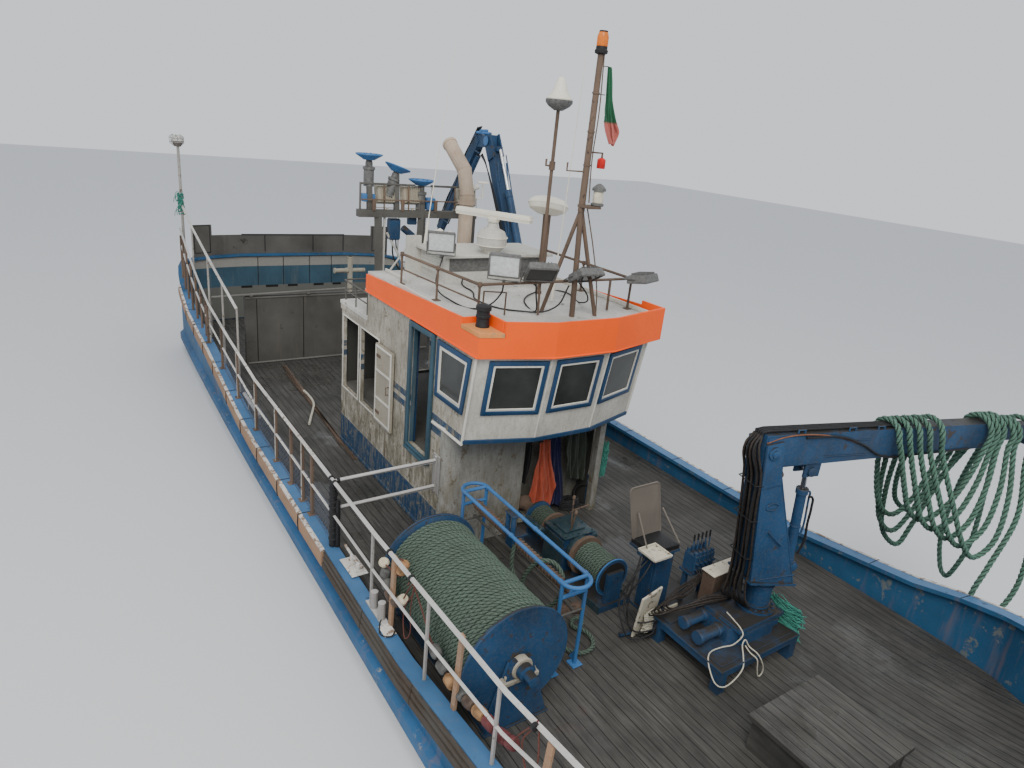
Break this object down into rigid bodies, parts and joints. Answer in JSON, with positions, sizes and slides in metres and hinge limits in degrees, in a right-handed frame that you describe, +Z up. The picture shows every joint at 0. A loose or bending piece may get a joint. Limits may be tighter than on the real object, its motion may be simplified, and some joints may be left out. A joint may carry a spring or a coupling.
{
  "type": "fishing vessel with net pen and deck cranes",
  "caption": "Steel fishing boat: forward wheelhouse, orange roof band, foredeck rope drum and winch, knuckle crane at the bow, net pen and power block crane aft.",
  "frame": {"origin": "amidships on the centreline at the waterline", "axes": "+X to the bow, +Y to port, +Z up"},
  "size_m": [20.38, 7.9623, 9.705],
  "materials": {
    "hull_blue": "satin, chalky with rust streaks",
    "deck_grey": "matt, worn",
    "wall_white": "matt, weathered and peeling",
    "orange": "satin, chipped",
    "bare_grey": "matt, rust stained",
    "rail_white": "satin, chipped",
    "gear_blue": "satin, worn",
    "rusty": "matt, rusted",
    "rope_green": "laid rope",
    "plastic_white": "satin",
    "steel": "polished",
    "bronze": "dull",
    "beige": "matt"
  },
  "bodies": {
    "boat": {"hull": "hull_blue", "keel": "hull_blue", "bulwark_starboard": "hull_blue", "bulwark_port": "hull_blue", "bow_bulwark": "hull_blue", "stern_bulwark": "hull_blue", "main_deck": "deck_grey", "wheelhouse_roof": "deck_grey", "aft_roof": "deck_grey", "house_wall_starboard": "wall_white", "house_wall_port": "wall_white", "house_wall_aft": "wall_white", "wheelhouse_wall_aft": "wall_white", "house_front_lower": "wall_white", "wheelhouse_front": "wall_white", "roof_casing": "wall_white", "roof_fascia": "orange", "stern_guard": "bare_grey", "pen_wall": "bare_grey", "house_floor": "bare_grey", "gantry": "bare_grey", "crane_controls": "bare_grey", "starboard_rail_aft": "rail_white", "starboard_rail_fore": "rail_white", "starboard_upper_rail": "rail_white", "port_upper_rail": "rail_white", "drum_stand": "gear_blue", "rope_guide": "gear_blue", "winch_frame": "gear_blue", "crane_base": "gear_blue", "aft_crane_pedestal": "gear_blue", "roof_rails": "rusty", "exhaust": "rusty", "mast": "rusty", "radome": "plastic_white", "satellite_dome": "plastic_white"},
    "rudder": {"rudder": "hull_blue"},
    "propeller": {"propeller": "bronze"},
    "rope_drum": {"rope_drum": "gear_blue"},
    "winch_drum_aft": {"winch_drum_aft": "gear_blue"},
    "winch_drum_fore": {"winch_drum_fore": "rope_green"},
    "line_sheave_1": {"line_sheave_1": "gear_blue"},
    "line_sheave_2": {"line_sheave_2": "gear_blue"},
    "line_sheave_3": {"line_sheave_3": "gear_blue"},
    "radar_scanner": {"radar_scanner": "plastic_white"},
    "crane_column": {"crane_column": "gear_blue"},
    "crane_boom": {"crane_boom": "gear_blue"},
    "crane_extension": {"crane_extension": "gear_blue"},
    "lift_cylinder": {"lift_cylinder": "gear_blue"},
    "lift_rod": {"lift_rod": "steel"},
    "aft_crane_head": {"aft_crane_head": "gear_blue"},
    "aft_crane_boom": {"aft_crane_boom": "gear_blue"},
    "aft_crane_arm": {"aft_crane_arm": "gear_blue"},
    "power_block_sheave": {"power_block_sheave": "rusty"},
    "aft_door": {"aft_door": "beige"},
    "starboard_sliding_door": {"starboard_sliding_door": "gear_blue"},
    "port_sliding_door": {"port_sliding_door": "gear_blue"}
  },
  "joints": [
    {"name": "rudder_turn", "type": "hinge", "parent": "boat", "child": "rudder", "pos_m": [-9.15, 0, -0.7], "axis": [0, 0, 1], "range_deg": [-35, 35]},
    {"name": "propeller_spin", "type": "hinge", "parent": "boat", "child": "propeller", "pos_m": [-8.25, 0, -1.48], "axis": [1, 0, 0], "continuous": true},
    {"name": "rope_drum_spin", "type": "hinge", "parent": "boat", "child": "rope_drum", "pos_m": [4.455, -2.48, 1.29], "axis": [1, 0, 0], "continuous": true},
    {"name": "winch_drum_aft_spin", "type": "hinge", "parent": "boat", "child": "winch_drum_aft", "pos_m": [2.98, -0.33, 1], "axis": [1, 0, 0], "continuous": true},
    {"name": "winch_drum_fore_spin", "type": "hinge", "parent": "boat", "child": "winch_drum_fore", "pos_m": [4.17, -0.33, 1], "axis": [1, 0, 0], "continuous": true},
    {"name": "line_sheave_1_spin", "type": "hinge", "parent": "boat", "child": "line_sheave_1", "pos_m": [-1.5, -1.35, 5.6], "axis": [0, 0, 1], "continuous": true},
    {"name": "line_sheave_2_spin", "type": "hinge", "parent": "boat", "child": "line_sheave_2", "pos_m": [-1.5, -0.86, 5.43], "axis": [0, 0.309, 0.9511], "continuous": true},
    {"name": "line_sheave_3_spin", "type": "hinge", "parent": "boat", "child": "line_sheave_3", "pos_m": [-1.5, -0.38, 5.23], "axis": [0, 0, 1], "continuous": true},
    {"name": "radar_spin", "type": "hinge", "parent": "boat", "child": "radar_scanner", "pos_m": [0.43, -0.06, 4.965], "axis": [0, 0, 1], "continuous": true},
    {"name": "crane_slew", "type": "hinge", "parent": "boat", "child": "crane_column", "pos_m": [5.8, 0.8, 1.141], "axis": [0, 0, 1], "range_deg": [-186, 30]},
    {"name": "crane_lift", "type": "hinge", "parent": "crane_column", "child": "crane_boom", "pos_m": [5.69597, 0.38277, 3.3], "axis": [0.9703, -0.2419, 0], "range_deg": [-8, 45]},
    {"name": "crane_extend", "type": "slide", "parent": "crane_boom", "child": "crane_extension", "axis": [0.2419, 0.9703, 0], "range_m": [0, 1.2]},
    {"name": "lift_cylinder_tilt", "type": "hinge", "parent": "crane_column", "child": "lift_cylinder", "pos_m": [5.88104, 1.12505, 1.7], "axis": [0.9703, -0.2419, 0], "range_deg": [-4, 3]},
    {"name": "lift_rod_slide", "type": "slide", "parent": "lift_cylinder", "child": "lift_rod", "axis": [-0.0178, -0.0715, 0.9973], "range_m": [-0.1, 0.56]},
    {"name": "aft_crane_slew", "type": "hinge", "parent": "boat", "child": "aft_crane_head", "pos_m": [-1.1, 1.82, 2.354], "axis": [0, 0, 1], "range_deg": [-100, 15]},
    {"name": "aft_crane_lift", "type": "hinge", "parent": "aft_crane_head", "child": "aft_crane_boom", "pos_m": [-1.1, 1.82, 2.76], "axis": [0, 1, 0], "range_deg": [-35, 10]},
    {"name": "aft_crane_fold", "type": "hinge", "parent": "aft_crane_boom", "child": "aft_crane_arm", "pos_m": [-2.85, 1.82, 6.02], "axis": [0, 1, 0], "range_deg": [-25, 90]},
    {"name": "power_block_spin", "type": "hinge", "parent": "aft_crane_arm", "child": "power_block_sheave", "pos_m": [-4.88, 1.82, 3.45], "axis": [0, 1, 0], "continuous": true},
    {"name": "aft_door_swing", "type": "hinge", "parent": "boat", "child": "aft_door", "pos_m": [0.096, -1.802, 2.33], "axis": [0, 0, 1], "range_deg": [-180, 0]},
    {"name": "starboard_door_slide", "type": "slide", "parent": "boat", "child": "starboard_sliding_door", "axis": [1, 0, 0], "range_m": [0, 0.62]},
    {"name": "port_door_slide", "type": "slide", "parent": "boat", "child": "port_sliding_door", "axis": [1, 0, 0], "range_m": [0, 0.62]}
  ],
  "couplings": [
    {"joint": "lift_cylinder_tilt", "follows": "crane_lift", "ratio": -0.07},
    {"joint": "lift_rod_slide", "follows": "crane_lift", "m_per_rad": 0.695}
  ]
}
